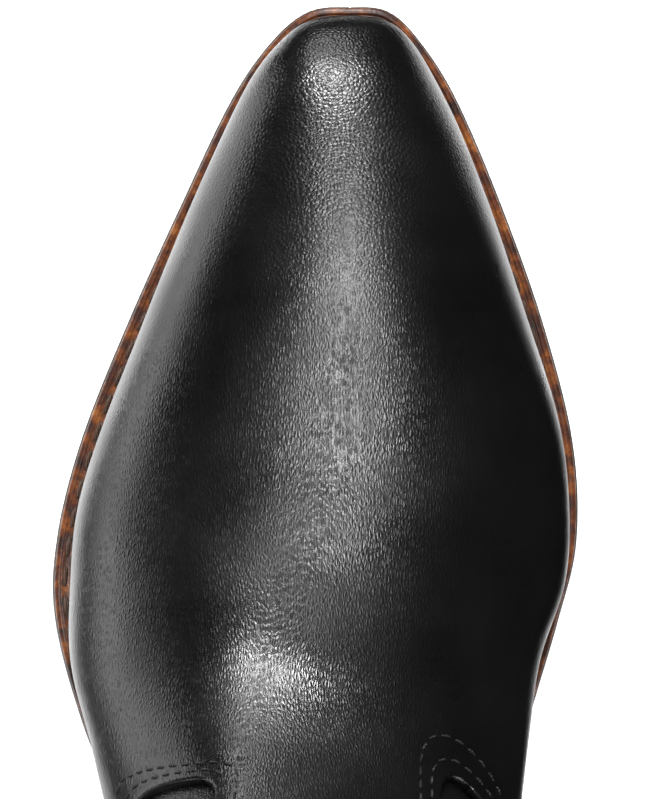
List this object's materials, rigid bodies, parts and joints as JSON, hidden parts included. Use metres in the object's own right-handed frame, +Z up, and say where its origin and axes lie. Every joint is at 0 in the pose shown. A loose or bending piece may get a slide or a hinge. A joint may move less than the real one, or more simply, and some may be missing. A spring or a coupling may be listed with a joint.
{
  "type": "cowboy boot",
  "caption": "Left pointed-toe cowboy boot with stitched welt, stacked underslung heel, scalloped shaft and two tilting pull straps.",
  "frame": {"origin": "centre of the heel cap's underside, on the floor", "axes": "+Z up, -Y towards the toe, +X towards the outer (little-toe) side of this left boot"},
  "size_m": [0.1198, 0.2752, 0.3407],
  "materials": {
    "black_leather": "smooth fine-grained black calf, semi-gloss",
    "tan_lining": "matt natural tan lining leather",
    "fibre_board": "matt pressed fibre stiffener",
    "cognac_welt": "burnished cognac-brown welt leather, dark mottled",
    "sole_leather": "oak-bark sole leather with a dark waxed edge",
    "heel_stack": "stacked leather with a dark waxed edge",
    "thread": "dark waxed linen thread",
    "cork": "matt granulated cork",
    "wood": "bare lemonwood",
    "rubber": "matt black rubber",
    "steel": "plain spring steel"
  },
  "bodies": {
    "root": {"cork_filler": "cork", "counter_cover": "black_leather", "heel_cap": "rubber", "heel_lift_1": "heel_stack", "heel_lift_2": "heel_stack", "heel_lift_3": "heel_stack", "heel_lift_4": "heel_stack", "heel_lift_5": "heel_stack", "heel_nail_1": "steel", "heel_nail_2": "steel", "heel_nail_3": "steel", "heel_nail_4": "steel", "heel_rand": "cognac_welt", "heel_stiffener": "fibre_board", "insole": "fibre_board", "lateral_seam_piping": "black_leather", "lateral_strap_inner_leg": "black_leather", "lateral_strap_outer_leg": "black_leather", "medial_seam_piping": "black_leather", "medial_strap_inner_leg": "black_leather", "medial_strap_outer_leg": "black_leather", "outsole": "sole_leather", "shaft_back": "black_leather", "shaft_front": "black_leather", "shaft_lining_back": "tan_lining", "shaft_lining_front": "tan_lining", "shank": "steel", "sock_liner": "tan_lining", "toe_puff": "fibre_board", "topline_binding": "black_leather", "vamp": "black_leather", "vamp_interlining": "fibre_board", "vamp_lining": "tan_lining", "waist_peg_1": "wood", "waist_peg_10": "wood", "waist_peg_2": "wood", "waist_peg_3": "wood", "waist_peg_4": "wood", "waist_peg_5": "wood", "waist_peg_6": "wood", "waist_peg_7": "wood", "waist_peg_8": "wood", "waist_peg_9": "wood", "welt": "cognac_welt", "welt_thread": "thread"},
    "lateral_loop": {"lateral_pull_loop": "black_leather"},
    "medial_loop": {"medial_pull_loop": "black_leather"}
  },
  "joints": [
    {"name": "lateral_strap_tilt", "type": "hinge", "parent": "root", "child": "lateral_loop", "pos_m": [0.0482, -0.018, 0.3055], "axis": [0, 1, 0], "range_deg": [-18, 18], "stiffness_Nm_per_rad": 0.05},
    {"name": "medial_strap_tilt", "type": "hinge", "parent": "root", "child": "medial_loop", "pos_m": [-0.0482, -0.018, 0.3055], "axis": [0, 1, 0], "range_deg": [-18, 18], "stiffness_Nm_per_rad": 0.05}
  ]
}
